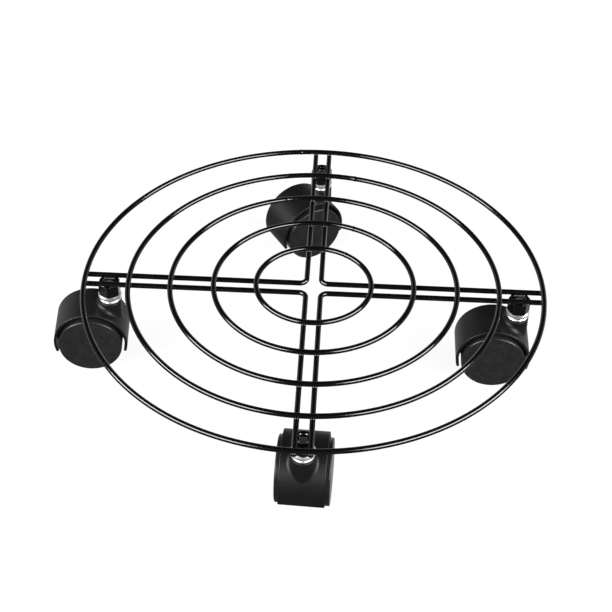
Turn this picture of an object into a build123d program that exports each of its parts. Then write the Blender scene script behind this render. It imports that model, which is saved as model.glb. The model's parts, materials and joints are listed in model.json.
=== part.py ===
from build123d import *
import os

# Plant pot caddy: a round black wire stand on four hooded twin-wheel swivel casters.
#
# Five concentric wire rings lie on a cross of four bent corner wires. A weld nut under the end of
# each arm takes the threaded stem of a caster. +X, -X, -Y and +Y are the caddy's right, left, front
# and rear. The origin is on the floor, under the centre of the rings, and +Z is up.

# Wire frame
overall_diameter = 300.0
overall_height = 69.0
wire_diameter = 3.5
ring_outer_diameters = {
    "outer_ring": overall_diameter,
    "second_ring": 243.0,
    "third_ring": 189.0,
    "fourth_ring": 133.0,
    "inner_ring": 78.0,
}
arm_wire_spacing = 9.5          # between the centre lines of an arm's two wires
corner_bend_radius = 4.6        # centre line of the bend at the middle of the cross
wire_end_overhang = 0.4         # how far a wire's end passes the outer ring's centre line
wire_end_chamfer = 0.4
weld_sink = 0.2                 # how deep welded wires sink into each other

# Weld nut and threaded stem, M8
nut_across_flats = 13.0
nut_height = 9.1
nut_corner_chamfer = 0.7        # height of the chamfer on the hexagon's corners
nut_chamfer_run = 1.1           # and its run towards the middle
thread_diameter = 8.0
thread_clearance = 0.05
thread_end_chamfer = 0.8
stem_end_depth = 1.6            # the stem's top, below the nut's top face
collar_hex_across_flats = 13.0
collar_hex_height = 3.1
collar_flange_diameter = 14.2
collar_flange_height = 1.9
collar_flange_fillet = 0.57
stem_circle_radius = 133.4
nut_turn = {"left": 30.0, "right": 0.0, "front": 30.0, "rear": 12.0}
collar_turn = {"left": 30.0, "right": 14.0, "front": 0.0, "rear": 20.0}

# Stem pin, and the snap ring that holds it in the hood's socket
pin_diameter = 7.0
pin_length = 21.0               # below the collar
pin_end_chamfer = 0.8
snap_ring_wire = 1.1
snap_ring_centre_radius = 3.4
snap_ring_gap_angle = 50.0
snap_ring_depth = 16.2          # below the collar
groove_radius = 2.85
groove_height = 1.3

# Hood, with its neck, socket and centre web
trail = 14.0                    # from the stem's axis to the axle
hood_radius = 24.25
hood_wall = 1.8
hood_width = 28.4
hood_end_angle = 17.0           # how far each end reaches below the axle's level
hood_edge_fillet = 0.6
neck_radius = 7.4
neck_foot_fillet = 3.0
neck_top_fillet = 0.7
swivel_gap = 0.4                # between the collar and the neck
socket_radius = 5.3
socket_floor = 1.6              # the closed end under the pin's gap
pin_end_gap = 1.6               # between the pin's end and the socket's floor
bore_clearance = 0.05
chamber_radius = 4.35           # the wider bore under the shoulder that the snap ring catches
chamber_shoulder_depth = 15.3   # below the collar
web_thickness = 4.0
web_foot_radius = 8.0           # the web's rounded foot, round the axle
axle_hub_radius = 5.0

# Wheels and axle
wheel_diameter = 41.6
wheels_overall_width = 33.8
wheel_inner_gap = 11.2          # between the two wheels of a caster
wheel_side_clearance = 0.3      # between a wheel's hub and the hood's hub
wheel_tread = 2.4
wheel_face = 2.2
wheel_hub_radius = 4.6
wheel_edge_fillet = 1.5
wheel_inner_chamfer = 0.5
rib_count = 6
rib_thickness = 1.3
rib_setback = 1.2               # the ribs stop this far inside the wheel's inner edge
axle_diameter = 4.0
axle_clearance = 0.05
axle_end_gap = 0.5
axle_end_chamfer = 0.4
snap_groove_depth = 0.25
snap_groove_width = 1.4
snap_ridge_width = 0.8
snap_ridge_clearance = 0.07
snap_groove_inset = 3.0         # from the axle's end to the middle of the groove

# Where each caster stands, and the way that its wheels trail at rest, in degrees from +X
stand_angle = {"left": 180.0, "right": 0.0, "front": 270.0, "rear": 90.0}
trail_angle = {"left": 184.3, "right": 180.0, "front": 87.5, "rear": 212.4}

# Heights above the floor
wire_radius = wire_diameter / 2
wheel_radius = wheel_diameter / 2
axle_height = wheel_radius
ring_height = overall_height - wire_radius
arm_height = ring_height - wire_diameter + weld_sink
nut_top = arm_height - wire_radius + weld_sink
nut_bottom = nut_top - nut_height
collar_bottom = nut_bottom - collar_hex_height - collar_flange_height
neck_top = collar_bottom - swivel_gap
pin_bottom = collar_bottom - pin_length
bore_bottom = pin_bottom - pin_end_gap
socket_bottom = bore_bottom - socket_floor
hood_inner_radius = hood_radius - hood_wall
tiny = 0.01


def save(shape, node):
    """Write one node, labelled with its own name."""
    shape.label = node
    export_step(shape, f"parts/{node}.step")


def hexagon(across_flats, height, turn):
    """A hexagonal prism that stands on z = 0, with its corners chamfered at both ends."""
    outline = RegularPolygon(across_flats / 2, 6, major_radius=False)
    prism = extrude(Rot(0, 0, turn) * outline, height)
    corner_radius = (outline.vertices()[0].center()).length
    envelope = extrude(Circle(corner_radius), height)
    rims = envelope.edges().filter_by(GeomType.CIRCLE)
    return prism & chamfer(rims, nut_corner_chamfer, nut_chamfer_run)


def cylinder_between(radius, low, high):
    """An upright cylinder on the Z axis between two heights."""
    return Pos(0, 0, low) * extrude(Circle(radius), high - low)


def ring(outer_diameter):
    """One round wire ring of the top."""
    return Pos(0, 0, ring_height) * Torus(outer_diameter / 2 - wire_radius, wire_radius)


def corner_wire(turn):
    """One wire, bent square at the middle of the cross, that makes one side of two arms."""
    offset = arm_wire_spacing / 2
    reach = (overall_diameter / 2 - wire_radius) + wire_end_overhang
    path = FilletPolyline((reach, offset), (offset, offset), (offset, reach), radius=corner_bend_radius)
    start = Plane(origin=path @ 0, z_dir=path % 0)
    wire = sweep(start * Circle(wire_radius), path=path)
    ends = wire.edges().filter_by(GeomType.CIRCLE)
    ends = ends.filter_by(lambda edge: max(edge.center().X, edge.center().Y) > reach - tiny)
    wire = chamfer(ends, wire_end_chamfer)
    return Pos(0, 0, arm_height) * Rot(0, 0, turn) * wire


def weld_nut(turn):
    """The tall hexagon nut under an arm, on the Z axis."""
    nut = Pos(0, 0, nut_bottom) * hexagon(nut_across_flats, nut_height, turn)
    nut -= cylinder_between(thread_diameter / 2, nut_bottom, nut_top)
    return nut


def stem(turn):
    """The caster's stem, on the Z axis: thread, hexagon, flange, and the pin with its groove."""
    pin_radius = pin_diameter / 2
    thread_radius = thread_diameter / 2 - thread_clearance
    pin = cylinder_between(pin_radius, pin_bottom, collar_bottom)
    pin = chamfer(pin.edges().group_by(Axis.Z)[0], pin_end_chamfer)
    groove_top = collar_bottom - snap_ring_depth + groove_height / 2
    groove = cylinder_between(pin_radius + tiny, groove_top - groove_height, groove_top)
    groove -= cylinder_between(groove_radius, groove_top - groove_height, groove_top)
    flange_top = collar_bottom + collar_flange_height
    flange = cylinder_between(collar_flange_diameter / 2, collar_bottom, flange_top)
    flange = fillet(flange.edges().filter_by(GeomType.CIRCLE), collar_flange_fillet)
    collar = Pos(0, 0, flange_top) * hexagon(collar_hex_across_flats, collar_hex_height, turn)
    thread = cylinder_between(thread_radius, nut_bottom, nut_top - stem_end_depth)
    thread = chamfer(thread.edges().group_by(Axis.Z)[-1], thread_end_chamfer)
    return (pin - groove) + flange + collar + thread


def snap_ring():
    """The open wire ring in the stem's groove."""
    arc = CenterArc((0, 0), snap_ring_centre_radius, snap_ring_gap_angle / 2, 360 - snap_ring_gap_angle)
    start = Plane(origin=arc @ 0, z_dir=arc % 0)
    wire = sweep(start * Circle(snap_ring_wire / 2), path=arc)
    return Pos(0, 0, collar_bottom - snap_ring_depth) * wire


def across(radius, width, centre=0.0):
    """A cylinder along Y on the axle's line, from its middle plane at y = centre."""
    solid = extrude(Plane.XZ * Circle(radius), width / 2, both=True)
    return Pos(trail, centre, axle_height) * solid


def below_hood_ends():
    """The wedge under the hood's two ends, which is cut away."""
    far = 2 * hood_radius
    slope = Vector(far, 0, 0).rotate(Axis.Z, hood_end_angle)
    corners = [(0, 0), (-slope.X, -slope.Y), (-slope.X, -far), (slope.X, -far), (slope.X, -slope.Y)]
    outline = Polyline(corners, close=True)
    wedge = extrude(Plane.XZ * make_face(outline), hood_width, both=True)
    return Pos(trail, 0, axle_height) * wedge


def axle_distance(edge):
    """How far the middle of an edge is from the axle's line."""
    point = edge.center()
    return Vector(point.X - trail, 0, point.Z - axle_height).length


def hood():
    """The moulded hood, with its stem on the Z axis and its wheels trailing towards +X."""
    shell = across(hood_radius, hood_width)
    shell = fillet(shell.edges().filter_by(GeomType.CIRCLE), hood_edge_fillet)
    shell -= across(hood_inner_radius, hood_width)
    shell -= below_hood_ends()
    neck = cylinder_between(neck_radius, axle_height, neck_top)
    neck = fillet(neck.edges().group_by(Axis.Z)[-1], neck_top_fillet)
    middle_of_wall = hood_inner_radius + hood_wall / 2
    body = shell + (neck - across(middle_of_wall, hood_width))
    foot = body.edges().filter_by(GeomType.BSPLINE)
    body = fillet(foot.filter_by(lambda edge: axle_distance(edge) > middle_of_wall), neck_foot_fillet)
    web = across(middle_of_wall, web_thickness) - below_hood_ends()
    web += across(web_foot_radius, web_thickness)
    hub = across(axle_hub_radius, wheel_inner_gap - 2 * wheel_side_clearance)
    socket = cylinder_between(socket_radius, socket_bottom, neck_top - neck_top_fillet)
    body = body + web + hub + socket
    body -= cylinder_between(pin_diameter / 2 + bore_clearance, bore_bottom, neck_top)
    body -= cylinder_between(chamber_radius, bore_bottom, collar_bottom - chamber_shoulder_depth)
    body -= across(axle_diameter / 2, hood_width)
    return body


def axle():
    """The axle pin, pressed through the web, with a snap groove near each end."""
    half = wheels_overall_width / 2 - wheel_face - axle_end_gap
    pin = across(axle_diameter / 2, 2 * half)
    pin = chamfer(pin.edges().filter_by(GeomType.CIRCLE), axle_end_chamfer)
    for side in (-1, 1):
        middle = side * (half - snap_groove_inset)
        groove = across(axle_diameter / 2 + tiny, snap_groove_width, middle)
        pin -= groove - across(axle_diameter / 2 - snap_groove_depth, snap_groove_width, middle)
    return pin


def wheel(side):
    """One hollow wheel: face, tread, hub and ribs. side is -1 or 1 along Y."""
    outer = wheels_overall_width / 2
    inner = wheel_inner_gap / 2
    width = outer - inner
    middle = (outer + inner) / 2
    body = across(wheel_radius, width, side * middle)
    face_edge = body.edges().filter_by(GeomType.CIRCLE).sort_by(Axis.Y)[-1 if side > 0 else 0]
    body = fillet(face_edge, wheel_edge_fillet)
    back_edge = body.edges().filter_by(GeomType.CIRCLE).sort_by(Axis.Y)[0 if side > 0 else -1]
    body = chamfer(back_edge, wheel_inner_chamfer)
    hollow_width = width - wheel_face
    hollow_middle = side * (inner + hollow_width / 2)
    body -= across(wheel_radius - wheel_tread, hollow_width, hollow_middle)
    hub = across(wheel_hub_radius, hollow_width, hollow_middle)
    rib_width = hollow_width - rib_setback
    rib_middle = side * (inner + rib_setback + rib_width / 2)
    rib_reach = wheel_radius - wheel_tread / 2
    ribs = [
        Pos(trail, rib_middle, axle_height)
        * Rot(0, index * 360 / rib_count, 0)
        * Pos(rib_reach / 2, 0, 0)
        * Box(rib_reach, rib_width, rib_thickness)
        for index in range(rib_count)
    ]
    body = body + hub + ribs
    body -= across(axle_diameter / 2 + axle_clearance, hollow_width, hollow_middle)
    half = outer - wheel_face - axle_end_gap
    ridge_radius = axle_diameter / 2 - snap_groove_depth + snap_ridge_clearance
    ridge_middle = side * (half - snap_groove_inset)
    ridge = across(axle_diameter / 2 + 2 * axle_clearance, snap_ridge_width, ridge_middle)
    ridge -= across(ridge_radius, snap_ridge_width, ridge_middle)
    return body + ridge


def main():
    os.makedirs("parts", exist_ok=True)
    for node, diameter in ring_outer_diameters.items():
        save(ring(diameter), node)
    quarters = {"rear_right": 0, "rear_left": 90, "front_left": 180, "front_right": 270}
    for quarter, turn in quarters.items():
        save(corner_wire(turn), f"corner_wire_{quarter}")
    hood_shape = hood()
    axle_shape = axle()
    wheels = {"wheel_a": wheel(1), "wheel_b": wheel(-1)}
    for place, angle in stand_angle.items():
        stand = Rot(0, 0, angle) * Pos(stem_circle_radius, 0, 0) * Rot(0, 0, -angle)
        save(stand * weld_nut(nut_turn[place]), f"{place}_weld_nut")
        save(stand * stem(collar_turn[place]), f"{place}_stem")
        save(stand * snap_ring(), f"{place}_snap_ring")
        caster = stand * Rot(0, 0, trail_angle[place])
        save(caster * hood_shape, f"{place}_hood")
        save(caster * axle_shape, f"{place}_axle")
        for name, shape in wheels.items():
            save(caster * shape, f"{place}_{name}")


main()
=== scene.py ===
"""The looks of a round wire plant pot caddy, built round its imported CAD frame.

Every piece is made in metres where the frame has its node, and rides on the body of that node.
"""
import json
import math

import bmesh
import bpy
from bpy.props import FloatProperty, FloatVectorProperty, IntProperty, PointerProperty
from mathutils import Matrix, Vector


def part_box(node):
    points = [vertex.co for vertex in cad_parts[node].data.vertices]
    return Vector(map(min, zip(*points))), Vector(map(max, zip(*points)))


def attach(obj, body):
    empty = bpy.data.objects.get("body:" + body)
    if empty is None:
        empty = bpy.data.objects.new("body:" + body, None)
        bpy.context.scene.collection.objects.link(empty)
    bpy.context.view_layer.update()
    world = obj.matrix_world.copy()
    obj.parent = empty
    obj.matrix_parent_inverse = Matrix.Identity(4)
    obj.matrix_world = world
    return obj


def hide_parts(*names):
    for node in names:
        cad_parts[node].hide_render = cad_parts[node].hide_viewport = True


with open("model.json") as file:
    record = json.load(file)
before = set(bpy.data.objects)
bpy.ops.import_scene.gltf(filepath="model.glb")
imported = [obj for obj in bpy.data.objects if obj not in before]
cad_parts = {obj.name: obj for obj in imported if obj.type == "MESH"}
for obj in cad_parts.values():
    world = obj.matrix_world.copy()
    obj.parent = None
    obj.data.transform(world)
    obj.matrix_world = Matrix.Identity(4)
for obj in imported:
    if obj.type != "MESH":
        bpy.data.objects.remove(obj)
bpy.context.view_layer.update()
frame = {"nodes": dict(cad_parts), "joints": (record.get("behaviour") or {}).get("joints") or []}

bl_info = {
    "name": "Plant pot caddy",
    "version": (1, 0, 0),
    "blender": (4, 5, 0),
    "location": "View3D > Sidebar > Caddy",
    "description": "Makes the rings, nuts, hoods and wheels of a wire plant pot caddy",
    "category": "Add Mesh",
}

MM = 0.001
MERGE_DISTANCE = 4e-6
SLOPE_STEPS = 6

# Where each ring's ends are welded and where each corner wire is, in degrees round from the right
BUTT_WELDS = {"outer": 96, "second": 78.5, "third": 104, "fourth": 68, "inner": 57.5}
CORNER_WIRES = {"rear_right": 0, "rear_left": 90, "front_left": 180, "front_right": 270}

PLACES = ("left", "right", "front", "rear")
WHEEL_SIDES = {"wheel_a": 1, "wheel_b": -1}

# The Mix node's colour sockets, by number, since its sockets for plain numbers have the same names
MIX_FACTOR, MIX_FIRST, MIX_SECOND, MIX_RESULT = 0, 6, 7, 2


# Reading the frame


def centre_of(node):
    """The middle of a CAD node's box."""
    low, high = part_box(node)
    return (low + high) / 2


def joint(name):
    """The joint of that name, as the record has it."""
    return next(item for item in frame["joints"] if item["name"] == name)


def stem_axis(place):
    """Where a caster's swivel axis meets the floor."""
    x, y, _ = joint(f"{place}_swivel")["pos_m"]
    return Vector((x, y, 0))


def wheel_frame(place, name):
    """A caster's axle as a frame: Z runs along the axle, out through that wheel's face."""
    spin = joint(f"{place}_{name}_spin")
    out = Vector(spin["axis"]) * WHEEL_SIDES[name]
    up = Vector((0, 0, 1))
    turn = Matrix((up.cross(out), up, out)).transposed().to_4x4()
    return Matrix.Translation(spin["pos_m"]) @ turn


def wire_radius():
    """Half the thickness of the wire that the rings are made of."""
    low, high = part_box("outer_ring")
    return (high.z - low.z) / 2


def arm_wire_place():
    """The distance of an arm's wire from the arm's middle, the wire's reach, and its height."""
    low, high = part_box("corner_wire_rear_right")
    return low.x + wire_radius(), high.x, (low.z + high.z) / 2


def corner_turn(node, axis, low, high):
    """The turn from +X of the farthest corner that a CAD node has between two heights."""
    verts = frame["nodes"][node].data.vertices
    offsets = [vert.co.xy - axis.xy for vert in verts if low < vert.co.z < high]
    far = max(offsets, key=lambda offset: offset.length)
    return math.atan2(far.y, far.x)


# Mesh helpers


def ring_of_points(mesh, radius, segments, matrix):
    """A circle of edges, ready to be spun or extruded into a wire."""
    made = bmesh.ops.create_circle(mesh, segments=segments, radius=radius, matrix=matrix)
    verts = made["verts"]
    return verts + list({edge for vert in verts for edge in vert.link_edges})


def sweep_turn(mesh, geometry, centre, angle, steps):
    """Spins a section about an upright axis and returns the section at the far end."""
    made = bmesh.ops.spin(
        mesh, geom=geometry, cent=centre, axis=(0, 0, 1), angle=angle, steps=steps,
        use_merge=False, use_duplicate=False,
    )
    return made["geom_last"]


def sweep_straight(mesh, geometry, offset):
    """Extrudes a section along a straight line and returns the section at the far end."""
    edges = [item for item in geometry if isinstance(item, bmesh.types.BMEdge)]
    made = bmesh.ops.extrude_edge_only(mesh, edges=edges)["geom"]
    verts = [item for item in made if isinstance(item, bmesh.types.BMVert)]
    bmesh.ops.translate(mesh, verts=verts, vec=offset)
    rim = [
        item for item in made
        if isinstance(item, bmesh.types.BMEdge) and all(vert in verts for vert in item.verts)
    ]
    return verts + rim


def lathe(mesh, outline, steps):
    """Spins an outline of (radius, height) points about the Z axis. A closed outline repeats its start."""
    points = [mesh.verts.new((radius, 0, height)) for radius, height in outline]
    edges = [mesh.edges.new(pair) for pair in zip(points, points[1:])]
    bmesh.ops.spin(
        mesh, geom=points + edges, cent=(0, 0, 0), axis=(0, 0, 1), angle=math.tau, steps=steps,
        use_merge=True, use_duplicate=False,
    )
    bmesh.ops.remove_doubles(mesh, verts=mesh.verts, dist=MERGE_DISTANCE)


def arc(centre, radius, start, end, steps):
    """Points along an arc in an outline, with angles in degrees from the radius direction."""
    angles = [math.radians(start + (end - start) * step / steps) for step in range(steps + 1)]
    return [(centre[0] + radius * math.cos(a), centre[1] + radius * math.sin(a)) for a in angles]


def straight_points(start, end, steps):
    """Evenly spaced points on a straight stretch of an outline, with both its ends."""
    return [
        tuple(first + (last - first) * step / steps for first, last in zip(start, end))
        for step in range(steps + 1)
    ]


def thread_points(radius, start, end, pitch):
    """An upright stretch of an outline, with enough points on it to cut a thread."""
    points_in_a_turn = 6
    steps = round(abs(end - start) / pitch * points_in_a_turn)
    return straight_points((radius, start), (radius, end), steps)


def hexagon_corner(across_flats):
    """How far a hexagon's sharp corners are from its middle."""
    return across_flats / 2 / math.cos(math.pi / 6)


def hexagon_radius(angle, across_flats, corner_share):
    """How far a hexagon's side is from its middle, with its corners rounded a little."""
    from_flat = (angle + math.pi / 6) % (math.pi / 3) - math.pi / 6
    return min(across_flats / 2 / math.cos(from_flat), hexagon_corner(across_flats) * corner_share)


def verts_between(mesh, low, high):
    """The vertices of a mesh between two heights."""
    return [vert for vert in mesh.verts if low < vert.co.z < high]


def press_hexagon(verts, across_flats, turn, corner_share):
    """Pushes the round stock of a lathed piece in to the flats of a hexagon."""
    for vert in verts:
        angle = math.atan2(vert.co.y, vert.co.x) - turn
        limit = hexagon_radius(angle, across_flats, corner_share)
        radius = vert.co.xy.length
        if radius > limit:
            vert.co.xy *= limit / radius


def cut_thread(verts, pitch, depth, low, high):
    """Gives a lathed stretch the rise and fall of a screw thread, fading out at both ends."""
    for vert in verts:
        height = vert.co.z
        turn = math.atan2(vert.co.y, vert.co.x) / math.tau
        share = (height / pitch - turn) % 1
        rise = 2 * abs(share - 0.5) - 0.5
        fade = min(1, (height - low) / pitch, (high - height) / pitch)
        vert.co.xy *= 1 + depth * rise * max(0, fade) / vert.co.xy.length


def add_bead(mesh, place, size):
    """Adds one rounded bead of weld metal, with size as its half width, half depth and half height."""
    matrix = place @ Matrix.Diagonal((*size, 1))
    bmesh.ops.create_uvsphere(mesh, u_segments=12, v_segments=8, radius=1, matrix=matrix)


def finish_mesh(mesh, name, smooth_angle):
    """Closes seams, turns the faces outwards, smooths all but sharp edges, and links the object."""
    bmesh.ops.remove_doubles(mesh, verts=mesh.verts, dist=MERGE_DISTANCE)
    bmesh.ops.recalc_face_normals(mesh, faces=mesh.faces)
    for edge in mesh.edges:
        edge.smooth = edge.calc_face_angle(0) < math.radians(smooth_angle)
    for face in mesh.faces:
        face.smooth = True
    data = bpy.data.meshes.new(name)
    mesh.to_mesh(data)
    mesh.free()
    piece = bpy.data.objects.new(name, data)
    bpy.context.scene.collection.objects.link(piece)
    return piece


def fit_piece(piece, body, slot, *nodes):
    """Gives a piece its finish, its body and the CAD nodes that it stands for."""
    piece.data.materials.append(finish_material(slot))
    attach(piece, body)
    if nodes:
        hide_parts(*nodes)


# Materials


class Value:
    """A node's output, so that sums on it add Math nodes."""

    def __init__(self, recipe, socket):
        self.recipe = recipe
        self.socket = socket

    def _maths(self, operation, first, second):
        return self.recipe.add("ShaderNodeMath", {"operation": operation}, {0: first, 1: second})

    def __add__(self, other):
        return self._maths("ADD", self, other)

    __radd__ = __add__

    def __mul__(self, other):
        return self._maths("MULTIPLY", self, other)

    __rmul__ = __mul__

    def __pow__(self, other):
        return self._maths("POWER", self, other)

    def __rpow__(self, other):
        return self._maths("POWER", other, self)


class Recipe:
    """The node tree of one material, or of the studio's room."""

    def __init__(self, owner):
        owner.use_nodes = True
        self.owner = owner
        self.tree = owner.node_tree
        self.tree.nodes.clear()

    def add(self, kind, settings=None, inputs=None, output=0):
        """Adds a node, with its settings first and then the values or links of its sockets."""
        node = self.tree.nodes.new(kind)
        for key, value in (settings or {}).items():
            if key == "stops":
                set_stops(node.color_ramp.elements, value)
            else:
                setattr(node, key, value)
        for key, value in (inputs or {}).items():
            if isinstance(value, Value):
                self.tree.links.new(value.socket, node.inputs[key])
            else:
                node.inputs[key].default_value = value
        return Value(self, node.outputs[output])

    def place(self, stretch=(1, 1, 1)):
        """Object coordinates, stretched along the object's own axes."""
        where = self.add("ShaderNodeTexCoord", output="Object")
        return self.add("ShaderNodeMapping", {}, {"Vector": where, "Scale": stretch})

    def noise(self, size, detail=2.0, stretch=(1, 1, 1)):
        """Soft noise from 0 to 1 whose blotches are about that size, in metres."""
        inputs = {"Vector": self.place(stretch), "Scale": 1 / size, "Detail": detail}
        return self.add("ShaderNodeTexNoise", {}, inputs)

    def blend(self, factor, first, second):
        """A colour between two colours."""
        inputs = {MIX_FACTOR: factor, MIX_FIRST: (*first, 1), MIX_SECOND: (*second, 1)}
        return self.add("ShaderNodeMix", {"data_type": "RGBA"}, inputs, MIX_RESULT)

    def greys(self, source, *steps):
        """A ramp of greys over a value, from pairs of position and level."""
        return self.add("ShaderNodeValToRGB", {"stops": steps}, {0: source})

    def bump(self, height, distance, strength=1.0):
        """A normal that rises by that distance, in metres, where height is 1."""
        inputs = {"Height": height, "Distance": distance, "Strength": strength}
        return self.add("ShaderNodeBump", {}, inputs)

    def surface(self, **inputs):
        """The finished surface. Names are the shader's own, with _ for a space."""
        named = {key.replace("_", " "): value for key, value in inputs.items()}
        shader = self.add("ShaderNodeBsdfPrincipled", {}, named)
        return self.end("ShaderNodeOutputMaterial", shader)

    def end(self, kind, shader):
        """Links the last shader to an output node and returns what the tree belongs to."""
        output = self.tree.nodes.new(kind)
        self.tree.links.new(shader.socket, output.inputs["Surface"])
        return self.owner


def set_stops(elements, steps):
    """Gives a ramp its greys, from pairs of position and level."""
    while len(elements) < len(steps):
        elements.new(1)
    for element, (position, level) in zip(elements, steps):
        element.position = position
        element.color = (level, level, level, 1)


def finish_material(slot):
    """The material of a slot, made once."""
    name = f"{slot}_finish"
    made = bpy.data.materials.get(name)
    return made or MATERIAL_MAKERS[slot](Recipe(bpy.data.materials.new(name)))


def black_powder_coat(recipe):
    """Glossy black powder coat: an even skin with a fine orange peel."""
    looks = bpy.context.scene.caddy_wire
    drift = recipe.noise(size=30 * MM)
    peel = recipe.noise(size=0.9 * MM)
    speck = recipe.noise(size=0.25 * MM, detail=1.0)
    return recipe.surface(
        Base_Color=recipe.blend(drift, looks.coat_dark, looks.coat_light),
        Roughness=looks.coat_roughness + 0.04 * drift + 0.03 * speck,
        Specular_IOR_Level=looks.coat_reflection,
        Normal=recipe.bump(peel + 0.3 * speck, distance=0.012 * MM, strength=0.5),
    )


def bright_zinc(recipe):
    """Bright zinc plate over turned steel, with fine level marks from the lathe."""
    looks = bpy.context.scene.caddy_caster
    turned = recipe.noise(size=0.5 * MM, stretch=(0.02, 0.02, 1))
    cloud = recipe.noise(size=5 * MM)
    return recipe.surface(
        Base_Color=recipe.blend(cloud, looks.zinc_dark, looks.zinc_light),
        Metallic=looks.zinc_metal,
        Roughness=looks.zinc_roughness + 0.08 * cloud + 0.05 * turned,
        Normal=recipe.bump(turned, distance=0.0005 * MM, strength=0.3),
    )


def bare_steel(recipe):
    """Plain drawn steel with marks along it."""
    looks = bpy.context.scene.caddy_caster
    drawn = recipe.noise(size=0.6 * MM, detail=3.0, stretch=(0.2, 0.2, 2))
    return recipe.surface(
        Base_Color=recipe.blend(drawn, looks.steel_dark, looks.steel_light),
        Metallic=1.0,
        Roughness=0.3 + 0.15 * drawn,
        Normal=recipe.bump(drawn, distance=0.01 * MM, strength=0.5),
    )


def moulded_hood(recipe):
    """Satin black nylon with a faint moulding grain and soft flow marks."""
    looks = bpy.context.scene.caddy_caster
    flow = recipe.noise(size=9 * MM, detail=3.0, stretch=(1, 1, 0.5))
    grain = recipe.noise(size=0.22 * MM)
    return recipe.surface(
        Base_Color=recipe.blend(flow, looks.hood_dark, looks.hood_light),
        Roughness=looks.hood_roughness + 0.1 * flow + 0.06 * grain,
        Specular_IOR_Level=looks.hood_reflection,
        Normal=recipe.bump(grain + 2.0 * flow, distance=0.02 * MM, strength=0.5),
    )


def moulded_wheel(recipe):
    """Black nylon, faintly clouded and scuffed, with a grain a little coarser than the hood's."""
    looks = bpy.context.scene.caddy_caster
    cloud = recipe.noise(size=6 * MM, detail=4.0)
    grain = recipe.noise(size=0.3 * MM)
    scuff = recipe.noise(size=1.6 * MM, detail=4.0) ** 5 * 4.0
    return recipe.surface(
        Base_Color=recipe.blend(0.8 * cloud + scuff, looks.wheel_dark, looks.wheel_light),
        Roughness=looks.wheel_roughness + 0.12 * cloud + 0.08 * grain,
        Specular_IOR_Level=looks.wheel_reflection,
        Normal=recipe.bump(grain, distance=0.02 * MM, strength=0.6),
    )


def glowing_floor(recipe):
    """A studio floor that glows nearly white, so that only faint shadows show on it."""
    looks = bpy.context.scene.caddy_studio
    drift = recipe.noise(size=400 * MM)
    return recipe.surface(
        Base_Color=recipe.blend(drift, looks.floor_dark, looks.floor_light),
        Roughness=0.9,
        Emission_Color=(1, 1, 1, 1),
        Emission_Strength=looks.floor_glow,
    )


MATERIAL_MAKERS = {
    "black_wire": black_powder_coat,
    "black_nut": black_powder_coat,
    "zinc_plated_steel": bright_zinc,
    "spring_steel": bare_steel,
    "axle_steel": bare_steel,
    "hood_nylon": moulded_hood,
    "wheel_nylon": moulded_wheel,
    "studio_floor": glowing_floor,
}


# Settings


def colour(name, description, default):
    """A colour that a user may change."""
    return FloatVectorProperty(
        name=name, description=description, default=default, subtype="COLOR", size=3, min=0, max=1,
    )


def length(name, description, millimetres):
    """A length that a user may change."""
    return FloatProperty(
        name=name, description=description, default=millimetres * MM, unit="LENGTH", precision=5,
    )


def share(name, description, default):
    """A share from 0 to 1 that a user may change."""
    return FloatProperty(
        name=name, description=description, default=default, min=0, max=1, subtype="FACTOR",
    )


class WireSettings(bpy.types.PropertyGroup):
    """Sizes and finish of the rings, corner wires and welds."""

    section_segments: IntProperty(
        name="Section segments", description="Faces round the wire", default=24, min=8,
    )
    ring_steps: IntProperty(
        name="Ring steps", description="Faces along a ring", default=220, min=24,
    )
    butt_steps: IntProperty(
        name="Butt weld steps", description="Faces along a ring's butt weld", default=12, min=4,
    )
    bend_steps: IntProperty(
        name="Bend steps", description="Faces along a corner bend", default=14, min=4,
    )
    butt_length: length("Butt weld length", "Length of the upset where a ring's ends are joined", 2.4)
    butt_rise: length("Butt weld rise", "How far the upset stands proud of the wire", 0.16)
    bead_width: length("Cross weld width", "Half width of the metal squeezed out at a cross weld", 1.75)
    bead_height: length("Cross weld height", "Half height of the metal squeezed out at a cross weld", 0.8)
    end_chamfer: length("Wire end chamfer", "Chamfer on the ends of the corner wires", 0.4)
    bend_radius: length("Corner bend radius", "Bend at the middle of the cross, on the wire's centre", 4.6)
    coat_dark: colour("Coat, dark", "Powder coat where it is darkest", (0.0006, 0.0006, 0.0007))
    coat_light: colour("Coat, light", "Powder coat where it is lightest", (0.0012, 0.0012, 0.0013))
    coat_roughness: share("Coat roughness", "Roughness of the powder coat", 0.1)
    coat_reflection: share("Coat reflection", "Specular level of the powder coat", 0.5)


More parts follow.
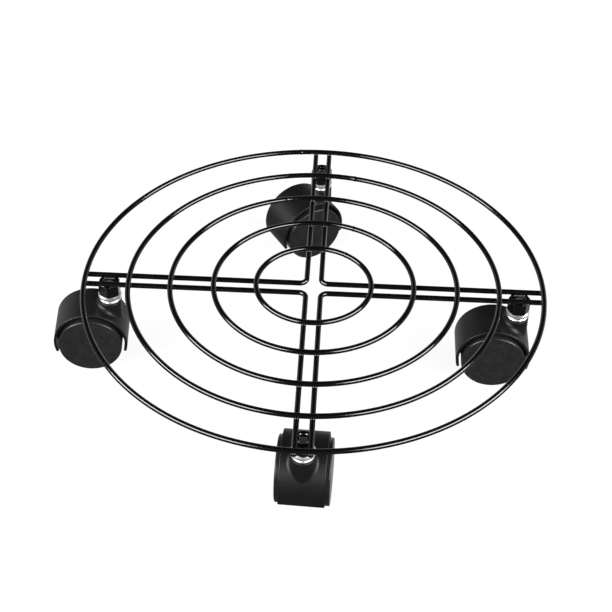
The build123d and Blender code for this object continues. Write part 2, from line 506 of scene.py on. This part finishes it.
class CasterSettings(bpy.types.PropertyGroup):
    """Sizes and finishes of the nuts, stems, hoods and wheels."""

    lathe_steps: IntProperty(
        name="Lathe steps", description="Faces round a nut, stem or wheel", default=144, min=24,
    )
    thread_pitch: length("Thread pitch", "Pitch of the stem's thread", 1.25)
    thread_depth: length("Thread depth", "Height of the stem's thread", 0.62)
    across_flats: length("Across flats", "Width of the nuts and of the stems' hexagons", 13)
    corner_rise: length("Corner rise", "Height of the slope that cuts a hexagon's corners", 0.7)
    corner_run: length("Corner run", "Width of the slope that cuts a hexagon's corners", 1.1)
    nut_corner: share("Nut corner", "Rounded corner's distance as a share of a sharp one's", 0.975)
    ribs: IntProperty(name="Ribs", description="Ribs inside a wheel", default=6, min=0)
    face_dish: length("Face dish", "How far the middle of a wheel's face stands in from its rim", 0.15)
    zinc_dark: colour("Zinc, dark", "Zinc plate where it is darkest", (0.74, 0.76, 0.78))
    zinc_light: colour("Zinc, light", "Zinc plate where it is lightest", (0.88, 0.89, 0.9))
    zinc_roughness: share("Zinc roughness", "Roughness of the zinc plate", 0.24)
    zinc_metal: share("Zinc metal", "Share of the plate's light that comes back as from bare metal", 0.95)
    steel_dark: colour("Steel, dark", "Bare steel where it is darkest", (0.25, 0.25, 0.26))
    steel_light: colour("Steel, light", "Bare steel where it is lightest", (0.5, 0.5, 0.51))
    hood_dark: colour("Hood, dark", "Hood where it is darkest", (0.0012, 0.0012, 0.0013))
    hood_light: colour("Hood, light", "Hood where it is lightest", (0.0032, 0.0032, 0.0034))
    hood_roughness: share("Hood roughness", "Roughness of the hood", 0.36)
    hood_reflection: share("Hood reflection", "Specular level of the hood", 0.2)
    wheel_dark: colour("Wheel, dark", "Wheel where it is darkest", (0.0026, 0.0026, 0.0028))
    wheel_light: colour("Wheel, light", "Wheel where it is lightest", (0.0104, 0.0104, 0.011))
    wheel_roughness: share("Wheel roughness", "Roughness of the wheels", 0.2)
    wheel_reflection: share("Wheel reflection", "Specular level of the wheels", 0.3)


class StudioSettings(bpy.types.PropertyGroup):
    """The floor, the room, the lights and the camera."""

    floor_radius: length("Floor radius", "Radius of the round floor", 40000)
    floor_dark: colour("Floor, dark", "The floor's own grey where it is darkest", (0.05, 0.05, 0.05))
    floor_light: colour("Floor, light", "The floor's own grey where it is lightest", (0.06, 0.06, 0.06))
    floor_glow: FloatProperty(
        name="Floor glow", description="Light that the floor gives off, which thins the shadows",
        default=0.88, min=0,
    )
    softbox_power: FloatProperty(
        name="Softbox power", description="Power of each of the two softboxes", default=135,
        unit="POWER",
    )
    softbox_width: length("Softbox width", "Width of each softbox", 2400)
    softbox_height: length("Softbox height", "Height of each softbox", 800)
    softbox_rise: length("Softbox rise", "From the floor to each softbox's lower edge", 560)
    softbox_distance: length("Softbox distance", "From each softbox to the caddy's middle", 1650)
    softbox_turn: FloatProperty(
        name="Softbox turn", description="How far each softbox stands to the side of the front",
        default=math.radians(60), subtype="ANGLE",
    )
    sky_wall: FloatProperty(
        name="Sky, wall", description="Brightness of the wall behind the caddy", default=0.9, min=0,
    )
    sky_under: share("Sky, under", "Brightness below the wall, as a share of the wall's", 0.85)
    sky_front: share("Sky, front", "Brightness of the room in front, as a share of the wall's", 0.15)
    sky_high: share("Sky, high", "Brightness of the studio's ceiling, as a share of the wall's", 0.02)
    azimuth: FloatProperty(
        name="Azimuth", description="The camera's turn to the right of the caddy's front",
        default=math.radians(2.0), subtype="ANGLE",
    )
    elevation: FloatProperty(
        name="Elevation", description="The camera's angle above the floor",
        default=math.radians(40.97), subtype="ANGLE",
    )
    roll: FloatProperty(
        name="Roll", description="The camera's turn about its own line of sight",
        default=math.radians(1.16), subtype="ANGLE",
    )
    distance: length("Distance", "From the camera to the point that it looks at", 943.9)
    aim_right: length("Aim right", "The point that it looks at, from the rings' centre", -3.92)
    aim_back: length("Aim back", "The point that it looks at, from the rings' centre", -21.6)
    lens: FloatProperty(
        name="Lens", description="Focal length on a 36 mm sensor, in millimetres", default=87.33, min=10,
    )


# Wire frame


class CADDY_OT_rings(bpy.types.Operator):
    """Make the five wire rings, each with its butt weld"""

    bl_idname = "caddy.rings"
    bl_label = "Rings"

    def execute(self, context):
        for name, butt_weld in BUTT_WELDS.items():
            make_ring(context.scene.caddy_wire, name, math.radians(butt_weld))
        return {"FINISHED"}


def ring_radius(node):
    """The radius of a ring, on its wire's centre."""
    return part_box(node)[1].x - wire_radius()


def make_ring(looks, name, butt_angle):
    """Spins a round wire section about the caddy's axis, with an upset where its ends are welded."""
    node = f"{name}_ring"
    radius = wire_radius()
    centre_line = ring_radius(node)
    height = centre_of(node).z
    butt_turn = looks.butt_length / centre_line
    start = Matrix.Rotation(butt_angle - butt_turn / 2, 4, "Z")
    upright = Matrix.Translation((centre_line, 0, 0)) @ Matrix.Rotation(math.pi / 2, 4, "X")
    mesh = bmesh.new()
    section = ring_of_points(mesh, radius, looks.section_segments, start @ upright)
    far_side = sweep_turn(mesh, section, (0, 0, 0), butt_turn, looks.butt_steps)
    sweep_turn(mesh, far_side, (0, 0, 0), math.tau - butt_turn, looks.ring_steps)
    middle = Vector((math.cos(butt_angle), math.sin(butt_angle), 0)) * centre_line
    for vert in mesh.verts:
        line = Vector((vert.co.x, vert.co.y, 0)).normalized() * centre_line
        along = (line - middle).length / (looks.butt_length / 2)
        if along < 1:
            swell = looks.butt_rise * math.cos(along * math.pi / 2) ** 2
            vert.co += (vert.co - line).normalized() * swell
    bmesh.ops.translate(mesh, verts=mesh.verts, vec=(0, 0, height))
    piece = finish_mesh(mesh, f"{name}_wire_ring", smooth_angle=60)
    fit_piece(piece, "frame", "black_wire", node)


class CADDY_OT_corner_wires(bpy.types.Operator):
    """Make the four bent wires that cross under the rings"""

    bl_idname = "caddy.corner_wires"
    bl_label = "Corner wires"

    def execute(self, context):
        for corner, turn in CORNER_WIRES.items():
            make_corner_wire(context.scene.caddy_wire, corner, turn)
        return {"FINISHED"}


def close_wire_end(mesh, section, radius, outwards, chamfer):
    """Extrudes a wire's end in a chamfer and closes it."""
    rim = sweep_straight(mesh, section, outwards * chamfer)
    verts = [item for item in rim if isinstance(item, bmesh.types.BMVert)]
    middle = sum((vert.co for vert in verts), Vector()) / len(verts)
    for vert in verts:
        vert.co = middle + (vert.co - middle) * (1 - chamfer / radius)
    edges = [item for item in rim if isinstance(item, bmesh.types.BMEdge)]
    bmesh.ops.edgeloop_fill(mesh, edges=edges)


def make_corner_wire(looks, corner, turn):
    """Runs a wire in along one arm, round the bend and out along the next."""
    radius = wire_radius()
    offset, reach, height = arm_wire_place()
    bend_centre = offset + looks.bend_radius
    straight = reach - looks.end_chamfer - bend_centre
    across = Matrix.Rotation(math.pi / 2, 4, "Y")
    start = Matrix.Translation((reach - looks.end_chamfer, offset, 0)) @ across
    mesh = bmesh.new()
    section = ring_of_points(mesh, radius, looks.section_segments, start)
    first_rim = list(section)
    section = sweep_straight(mesh, section, (-straight, 0, 0))
    section = sweep_turn(mesh, section, (bend_centre, bend_centre, 0), -math.pi / 2, looks.bend_steps)
    section = sweep_straight(mesh, section, (0, straight, 0))
    close_wire_end(mesh, first_rim, radius, Vector((1, 0, 0)), looks.end_chamfer)
    close_wire_end(mesh, section, radius, Vector((0, 1, 0)), looks.end_chamfer)
    place = Matrix.Translation((0, 0, height)) @ Matrix.Rotation(math.radians(turn), 4, "Z")
    bmesh.ops.transform(mesh, matrix=place, verts=mesh.verts)
    piece = finish_mesh(mesh, f"{corner}_bent_wire", smooth_angle=40)
    fit_piece(piece, "frame", "black_wire", f"corner_wire_{corner}")


class CADDY_OT_cross_welds(bpy.types.Operator):
    """Make the small welds where each ring crosses the arm wires"""

    bl_idname = "caddy.cross_welds"
    bl_label = "Cross welds"

    def execute(self, context):
        for name in BUTT_WELDS:
            make_cross_welds(context.scene.caddy_wire, name)
        return {"FINISHED"}


def make_cross_welds(looks, name):
    """Puts a low bead of metal between a ring and each of the eight wires under it."""
    node = f"{name}_ring"
    offset, _, arm_height = arm_wire_place()
    height = (arm_height + centre_of(node).z) / 2
    along = math.sqrt(ring_radius(node) ** 2 - offset**2)
    size = (looks.bead_width, looks.bead_width, looks.bead_height)
    mesh = bmesh.new()
    for arm in range(4):
        turn = Matrix.Rotation(arm * math.pi / 2, 4, "Z")
        for side in (-1, 1):
            add_bead(mesh, turn @ Matrix.Translation((along, side * offset, height)), size)
    piece = finish_mesh(mesh, f"{name}_ring_cross_welds", smooth_angle=80)
    fit_piece(piece, "frame", "black_wire")


# Casters


class CADDY_OT_weld_nuts(bpy.types.Operator):
    """Make the four hexagon weld nuts, threaded inside, with their weld beads"""

    bl_idname = "caddy.weld_nuts"
    bl_label = "Weld nuts"

    def execute(self, context):
        for place in PLACES:
            make_weld_nut(context.scene.caddy_caster, place)
            make_nut_welds(place)
        return {"FINISHED"}


def make_weld_nut(looks, place):
    """Lathes a nut's section, pushes its outside in to a hexagon and cuts its thread."""
    node = f"{place}_weld_nut"
    axis = stem_axis(place)
    low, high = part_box(node)
    corner = hexagon_corner(looks.across_flats)
    rise, run = looks.corner_rise, looks.corner_run
    bore, sink = 4 * MM, 0.5 * MM
    outline = [(bore + sink, low.z)]
    outline += straight_points((corner - run, low.z), (corner, low.z + rise), SLOPE_STEPS)
    outline += straight_points((corner, high.z - rise), (corner - run, high.z), SLOPE_STEPS)
    outline += [(bore + sink, high.z)]
    outline += thread_points(bore, high.z - sink, low.z + sink, looks.thread_pitch)
    outline += [outline[0]]
    mesh = bmesh.new()
    lathe(mesh, outline, looks.lathe_steps)
    outside = [vert for vert in mesh.verts if vert.co.xy.length > bore + 2 * sink]
    inside = [vert for vert in mesh.verts if vert.co.xy.length < bore + sink / 2]
    turn = corner_turn(node, axis, low.z - rise, high.z - 2 * rise) + math.pi / 6
    press_hexagon(outside, looks.across_flats, turn, looks.nut_corner)
    cut_thread(inside, looks.thread_pitch, -looks.thread_depth / 2, low.z + sink, high.z - sink)
    bmesh.ops.translate(mesh, verts=mesh.verts, vec=axis)
    piece = finish_mesh(mesh, f"{place}_hexagon_nut", smooth_angle=30)
    fit_piece(piece, "frame", "black_nut", node)


def make_nut_welds(place):
    """Lays a short rippled bead along each side of both arm wires, on top of the nut."""
    axis = stem_axis(place)
    nut_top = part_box(f"{place}_weld_nut")[1].z
    outwards = axis.normalized()
    sideways = outwards.cross((0, 0, 1))
    width, height, ripple = 1.15 * MM, 0.805 * MM, 0.95 * MM
    inset, lift = 1.5 * MM, 0.25 * MM
    from_middle = arm_wire_place()[0] - inset
    mesh = bmesh.new()
    for side in (-1, 1):
        for step in range(-3, 4):
            middle = axis + sideways * side * from_middle + outwards * step * ripple
            middle.z = nut_top + lift
            add_bead(mesh, Matrix.Translation(middle), (width, width, height))
    piece = finish_mesh(mesh, f"{place}_nut_welds", smooth_angle=80)
    fit_piece(piece, "frame", "black_nut")


class CADDY_OT_stems(bpy.types.Operator):
    """Make the four plated stems: thread, hexagon, flange and pin"""

    bl_idname = "caddy.stems"
    bl_label = "Stems"

    def execute(self, context):
        for place in PLACES:
            make_stem(context.scene.caddy_caster, place)
        return {"FINISHED"}


def make_stem(looks, place):
    """Lathes a stem's section, pushes its collar in to a hexagon and cuts its thread."""
    node = f"{place}_stem"
    axis = stem_axis(place)
    low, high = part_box(node)
    nut_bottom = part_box(f"{place}_weld_nut")[0].z
    corner = hexagon_corner(looks.across_flats)
    rise, run = looks.corner_rise, looks.corner_run
    thread, pin, groove, chamfer = 3.95 * MM, 3.5 * MM, 2.85 * MM, 0.8 * MM
    flange, flange_height, soft, dome = 7.1 * MM, 1.9 * MM, 0.57 * MM, 1.25 * MM
    hexagon_height, nut_gap, margin = 3.1 * MM, 0.02 * MM, 0.1 * MM
    groove_drop, groove_height = 15.55 * MM, 1.3 * MM
    flange_top = nut_bottom - hexagon_height
    collar_low = flange_top - flange_height
    collar_top = nut_bottom - nut_gap
    groove_top = collar_low - groove_drop
    groove_low = groove_top - groove_height
    outline = [(0, low.z), (pin - chamfer, low.z), (pin, low.z + chamfer)]
    outline += [(pin, groove_low), (groove, groove_low), (groove, groove_top), (pin, groove_top)]
    outline += [(pin, collar_low)]
    outline += arc((flange - soft, collar_low + soft), soft, -90, 0, 6)
    outline += arc((flange - dome, flange_top - dome), dome, 0, 90, 10)
    outline += straight_points((corner - run, flange_top), (corner, flange_top + rise), SLOPE_STEPS)
    outline += straight_points((corner, collar_top - rise), (corner - run, collar_top), SLOPE_STEPS)
    outline += thread_points(thread, collar_top, high.z - chamfer, looks.thread_pitch)
    outline += [(thread - chamfer, high.z), (0, high.z)]
    mesh = bmesh.new()
    lathe(mesh, outline, looks.lathe_steps)
    collar = verts_between(mesh, flange_top - MERGE_DISTANCE, collar_top + MERGE_DISTANCE)
    hexagon = [vert for vert in collar if vert.co.xy.length < flange - soft]
    above = verts_between(mesh, nut_bottom, high.z)
    screw = [vert for vert in above if vert.co.xy.length > thread - chamfer / 2]
    turn = corner_turn(node, axis, flange_top + margin, nut_bottom - margin) + math.pi / 6
    press_hexagon(hexagon, looks.across_flats, turn, looks.nut_corner)
    cut_thread(screw, looks.thread_pitch, looks.thread_depth / 2, nut_bottom, high.z)
    bmesh.ops.translate(mesh, verts=mesh.verts, vec=axis)
    piece = finish_mesh(mesh, f"{place}_plated_stem", smooth_angle=30)
    fit_piece(piece, "frame", "zinc_plated_steel", node)


class CADDY_OT_hoods(bpy.types.Operator):
    """Make the four moulded hoods"""

    bl_idname = "caddy.hoods"
    bl_label = "Hoods"

    def execute(self, context):
        for place in PLACES:
            make_hood(place)
        return {"FINISHED"}


def make_hood(place):
    """Merges the CAD hood's own mesh and shades it evenly."""
    node = f"{place}_hood"
    mesh = bmesh.new()
    mesh.from_mesh(frame["nodes"][node].data)
    piece = finish_mesh(mesh, f"{place}_moulded_hood", smooth_angle=35)
    weighted = piece.modifiers.new("Even shading", "WEIGHTED_NORMAL")
    weighted.keep_sharp = True
    fit_piece(piece, f"{place}_caster", "hood_nylon", node)


class CADDY_OT_wheels(bpy.types.Operator):
    """Make the eight hollow wheels, with hubs and ribs"""

    bl_idname = "caddy.wheels"
    bl_label = "Wheels"

    def execute(self, context):
        for place in PLACES:
            for name in WHEEL_SIDES:
                make_wheel(context.scene.caddy_caster, place, name)
        return {"FINISHED"}


def make_wheel(looks, place, name):
    """Lathes a wheel's wall, face and hub, adds its ribs and stands it on its axle."""
    node = f"{place}_{name}"
    rim, hub, bore = 20.8 * MM, 4.6 * MM, 2.05 * MM
    inner, outer = 5.6 * MM, 16.9 * MM
    tread, face = 2.4 * MM, 2.2 * MM
    edge, chamfer, soft = 0.8 * MM, 0.5 * MM, 1.0 * MM
    inside = outer - face
    barrel = rim - tread
    dish, dish_edge = looks.face_dish, 1.2 * MM
    outline = [(0, outer - dish), (rim / 2, outer - 0.8 * dish)]
    outline += [(rim - edge - dish_edge, outer - 0.25 * dish)]
    outline += arc((rim - edge, outer - edge), edge, 90, 0, 10)
    outline += [(rim, inner + chamfer), (rim - chamfer, inner), (barrel + chamfer, inner)]
    outline += [(barrel, inner + chamfer)]
    outline += arc((barrel - soft, inside - soft), soft, 0, 90, 5)
    outline += arc((hub + soft, inside - soft), soft, 90, 180, 5)
    outline += [(hub, inner), (bore, inner), (bore, inside), (0, inside)]
    mesh = bmesh.new()
    lathe(mesh, outline, looks.lathe_steps)
    add_ribs(mesh, looks.ribs, (hub, barrel), (inner, inside))
    bmesh.ops.transform(mesh, matrix=wheel_frame(place, name), verts=mesh.verts)
    piece = finish_mesh(mesh, f"{place}_{name}_moulding", smooth_angle=35)
    fit_piece(piece, node, "wheel_nylon", node)


def add_ribs(mesh, count, across, along):
    """Adds ribs from a wheel's hub to its tread, each sunk a little into what it joins."""
    thickness, setback, sunk = 1.3 * MM, 1.2 * MM, 1.0 * MM
    low, high = along[0] + setback, along[1] + sunk
    size = (across[1] - across[0] + 2 * sunk, thickness, high - low)
    place = Matrix.Translation((sum(across) / 2, 0, (low + high) / 2)) @ Matrix.Diagonal((*size, 1))
    for index in range(count):
        turn = Matrix.Rotation(index * math.tau / count, 4, "Z")
        bmesh.ops.create_cube(mesh, size=1, matrix=turn @ place)


class CADDY_OT_inner_parts(bpy.types.Operator):
    """Give the axles and snap rings inside the hoods their steel"""

    bl_idname = "caddy.inner_parts"
    bl_label = "Axles and snap rings"

    def execute(self, context):
        for place in PLACES:
            for part, slot in (("axle", "axle_steel"), ("snap_ring", "spring_steel")):
                node = frame["nodes"][f"{place}_{part}"]
                for material_slot in node.material_slots:
                    material_slot.material = finish_material(slot)
        return {"FINISHED"}


# Studio


class CADDY_OT_studio(bpy.types.Operator):
    """Set the floor, the room, the lights and the camera"""

    bl_idname = "caddy.studio"
    bl_label = "Studio"

    def execute(self, context):
        looks = context.scene.caddy_studio
        make_floor(looks)
        make_sky(context.scene, looks)
        for name, side in (("left_softbox", -1), ("right_softbox", 1)):
            make_softbox(name, side, looks)
        make_camera(context.scene, looks)
        context.scene.view_settings.view_transform = "Standard"
        return {"FINISHED"}


def make_floor(looks):
    """A wide floor that gloss on the caddy doesn't mirror, so that its blacks stay deep."""
    mesh = bmesh.new()
    bmesh.ops.create_circle(mesh, cap_ends=True, segments=96, radius=looks.floor_radius)
    floor = finish_mesh(mesh, "studio_floor", smooth_angle=30)
    floor.data.materials.append(finish_material("studio_floor"))
    floor.visible_glossy = False


def make_sky(scene, looks):
    """A studio with a bright wall behind the caddy, a dark room in front and a dark ceiling."""
    recipe = Recipe(bpy.data.worlds.new("studio_room"))
    where = recipe.add("ShaderNodeTexCoord", output="Generated")
    height = recipe.add("ShaderNodeSeparateXYZ", {}, {"Vector": where}, "Z")
    depth = recipe.add("ShaderNodeSeparateXYZ", {}, {"Vector": where}, "Y")
    by_height = recipe.greys(height, (0, looks.sky_under), (0.04, 1), (0.12, 1), (0.5, looks.sky_high))
    by_depth = recipe.greys(depth, (0, looks.sky_front), (0.3, looks.sky_front), (0.7, 1))
    inputs = {"Color": (1, 1, 1, 1), "Strength": by_height * by_depth * looks.sky_wall}
    background = recipe.add("ShaderNodeBackground", {}, inputs)
    scene.world = recipe.end("ShaderNodeOutputWorld", background)


def make_softbox(name, side, looks):
    """A wide soft light, low in front and to one side, that faces the caddy."""
    light = bpy.data.lights.new(name, "AREA")
    light.shape = "RECTANGLE"
    light.size = looks.softbox_width
    light.size_y = looks.softbox_height
    light.energy = looks.softbox_power
    away = Vector((side * math.sin(looks.softbox_turn), -math.cos(looks.softbox_turn), 0))
    middle_height = looks.softbox_rise + looks.softbox_height / 2
    lamp = bpy.data.objects.new(name, light)
    lamp.location = away * looks.softbox_distance + Vector((0, 0, middle_height))
    lamp.rotation_euler = (-lamp.location).to_track_quat("-Z", "Y").to_euler()
    bpy.context.scene.collection.objects.link(lamp)


def make_camera(scene, looks):
    """A long lens that looks down at the caddy from the front."""
    data = bpy.data.cameras.new("studio_camera")
    data.lens = looks.lens
    data.sensor_width = 36
    camera = bpy.data.objects.new("studio_camera", data)
    aim = Vector((looks.aim_right, looks.aim_back, centre_of("outer_ring").z))
    tilt = Matrix.Rotation(math.pi / 2 - looks.elevation, 4, "X")
    turn = Matrix.Rotation(looks.azimuth, 4, "Z") @ tilt
    back = Matrix.Translation((0, 0, looks.distance))
    roll = Matrix.Rotation(looks.roll, 4, "Z")
    camera.matrix_world = Matrix.Translation(aim) @ turn @ back @ roll
    scene.collection.objects.link(camera)
    scene.camera = camera


# The add-on


OPERATORS = (
    CADDY_OT_rings,
    CADDY_OT_corner_wires,
    CADDY_OT_cross_welds,
    CADDY_OT_weld_nuts,
    CADDY_OT_stems,
    CADDY_OT_hoods,
    CADDY_OT_wheels,
    CADDY_OT_inner_parts,
    CADDY_OT_studio,
)


class CADDY_PT_panel(bpy.types.Panel):
    """Lists the caddy's pieces"""

    bl_idname = "CADDY_PT_panel"
    bl_label = "Plant pot caddy"
    bl_space_type = "VIEW_3D"
    bl_region_type = "UI"
    bl_category = "Caddy"

    def draw(self, context):
        for operator in OPERATORS:
            self.layout.operator(operator.bl_idname)


SETTINGS = {
    "caddy_wire": WireSettings,
    "caddy_caster": CasterSettings,
    "caddy_studio": StudioSettings,
}
CLASSES = (*SETTINGS.values(), *OPERATORS, CADDY_PT_panel)


def register():
    for item in CLASSES:
        bpy.utils.register_class(item)
    for name, group in SETTINGS.items():
        setattr(bpy.types.Scene, name, PointerProperty(type=group))


def unregister():
    for name in SETTINGS:
        delattr(bpy.types.Scene, name)
    for item in reversed(CLASSES):
        bpy.utils.unregister_class(item)


def main():
    register()
    bpy.ops.caddy.rings()
    bpy.ops.caddy.corner_wires()
    bpy.ops.caddy.cross_welds()
    bpy.ops.caddy.weld_nuts()
    bpy.ops.caddy.stems()
    bpy.ops.caddy.hoods()
    bpy.ops.caddy.wheels()
    bpy.ops.caddy.inner_parts()
    bpy.ops.caddy.studio()


if __name__ == "__main__":
    main()
